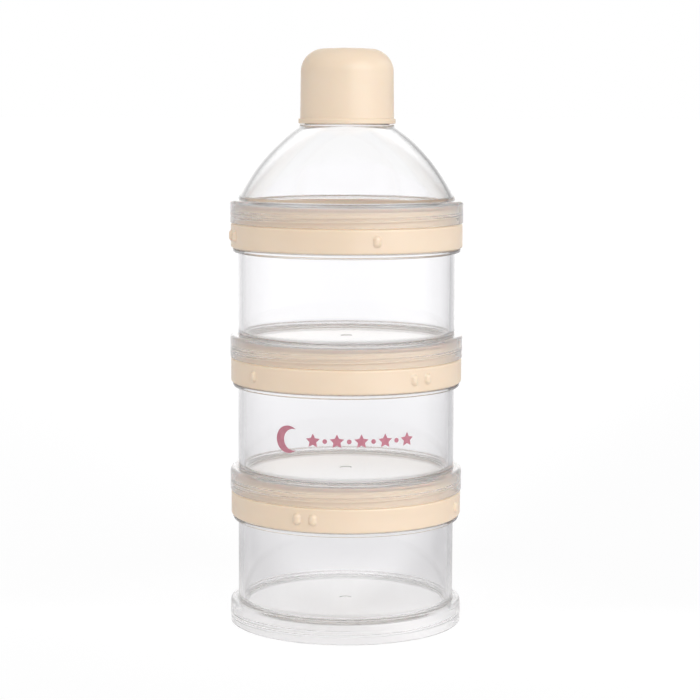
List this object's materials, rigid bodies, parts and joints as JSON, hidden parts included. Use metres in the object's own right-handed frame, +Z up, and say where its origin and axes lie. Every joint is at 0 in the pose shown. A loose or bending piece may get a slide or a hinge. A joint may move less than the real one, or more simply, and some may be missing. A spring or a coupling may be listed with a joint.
{
  "type": "formula dispenser",
  "caption": "Stack of clear screw-together powder cups with cream threaded collars, under a clear funnel lid whose pouring spout has a cream push-on cap.",
  "frame": {"origin": "centre of the bottom rim, on the plane that the dispenser stands on", "axes": "+Z up along the stack's own axis, from the base to the cap; -Y is the side seen from the front; +X is to the right of that view"},
  "size_m": [0.08, 0.08, 0.1976],
  "materials": {
    "clear_plastic": "clear, polished",
    "cream_plastic": "satin moulded",
    "silicone": "matt, milky"
  },
  "bodies": {
    "base": {"cup_bottom": "clear_plastic", "collar_bottom": "cream_plastic"},
    "bottom_seal": {"seal_bottom": "silicone"},
    "middle_cup": {"cup_middle": "clear_plastic", "collar_middle": "cream_plastic"},
    "middle_seal": {"seal_middle": "silicone"},
    "top_cup": {"cup_top": "clear_plastic", "collar_top": "cream_plastic"},
    "top_seal": {"seal_top": "silicone"},
    "lid": {"funnel_lid": "clear_plastic"},
    "cap": {"spout_cap": "cream_plastic"}
  },
  "joints": [
    {"name": "middle_cup_lift", "type": "slide", "parent": "base", "child": "bottom_seal", "axis": [0, 0, 1], "range_m": [0, 0.0061]},
    {"name": "middle_cup_turn", "type": "hinge", "parent": "bottom_seal", "child": "middle_cup", "pos_m": [0, 0, 0.0461], "axis": [0, 0, 1], "range_deg": [0, 720]},
    {"name": "top_cup_lift", "type": "slide", "parent": "middle_cup", "child": "middle_seal", "axis": [0, 0, 1], "range_m": [0, 0.0061]},
    {"name": "top_cup_turn", "type": "hinge", "parent": "middle_seal", "child": "top_cup", "pos_m": [0, 0, 0.0922], "axis": [0, 0, 1], "range_deg": [0, 720]},
    {"name": "lid_lift", "type": "slide", "parent": "top_cup", "child": "top_seal", "axis": [0, 0, 1], "range_m": [0, 0.0061]},
    {"name": "lid_turn", "type": "hinge", "parent": "top_seal", "child": "lid", "pos_m": [0, 0, 0.1383], "axis": [0, 0, 1], "range_deg": [0, 720]},
    {"name": "cap_pull", "type": "slide", "parent": "lid", "child": "cap", "axis": [0, 0, 1], "range_m": [0, 0.021]}
  ],
  "couplings": [
    {"joint": "middle_cup_lift", "follows": "middle_cup_turn", "m_per_rad": 0.00047746},
    {"joint": "top_cup_lift", "follows": "top_cup_turn", "m_per_rad": 0.00047746},
    {"joint": "lid_lift", "follows": "lid_turn", "m_per_rad": 0.00047746}
  ]
}
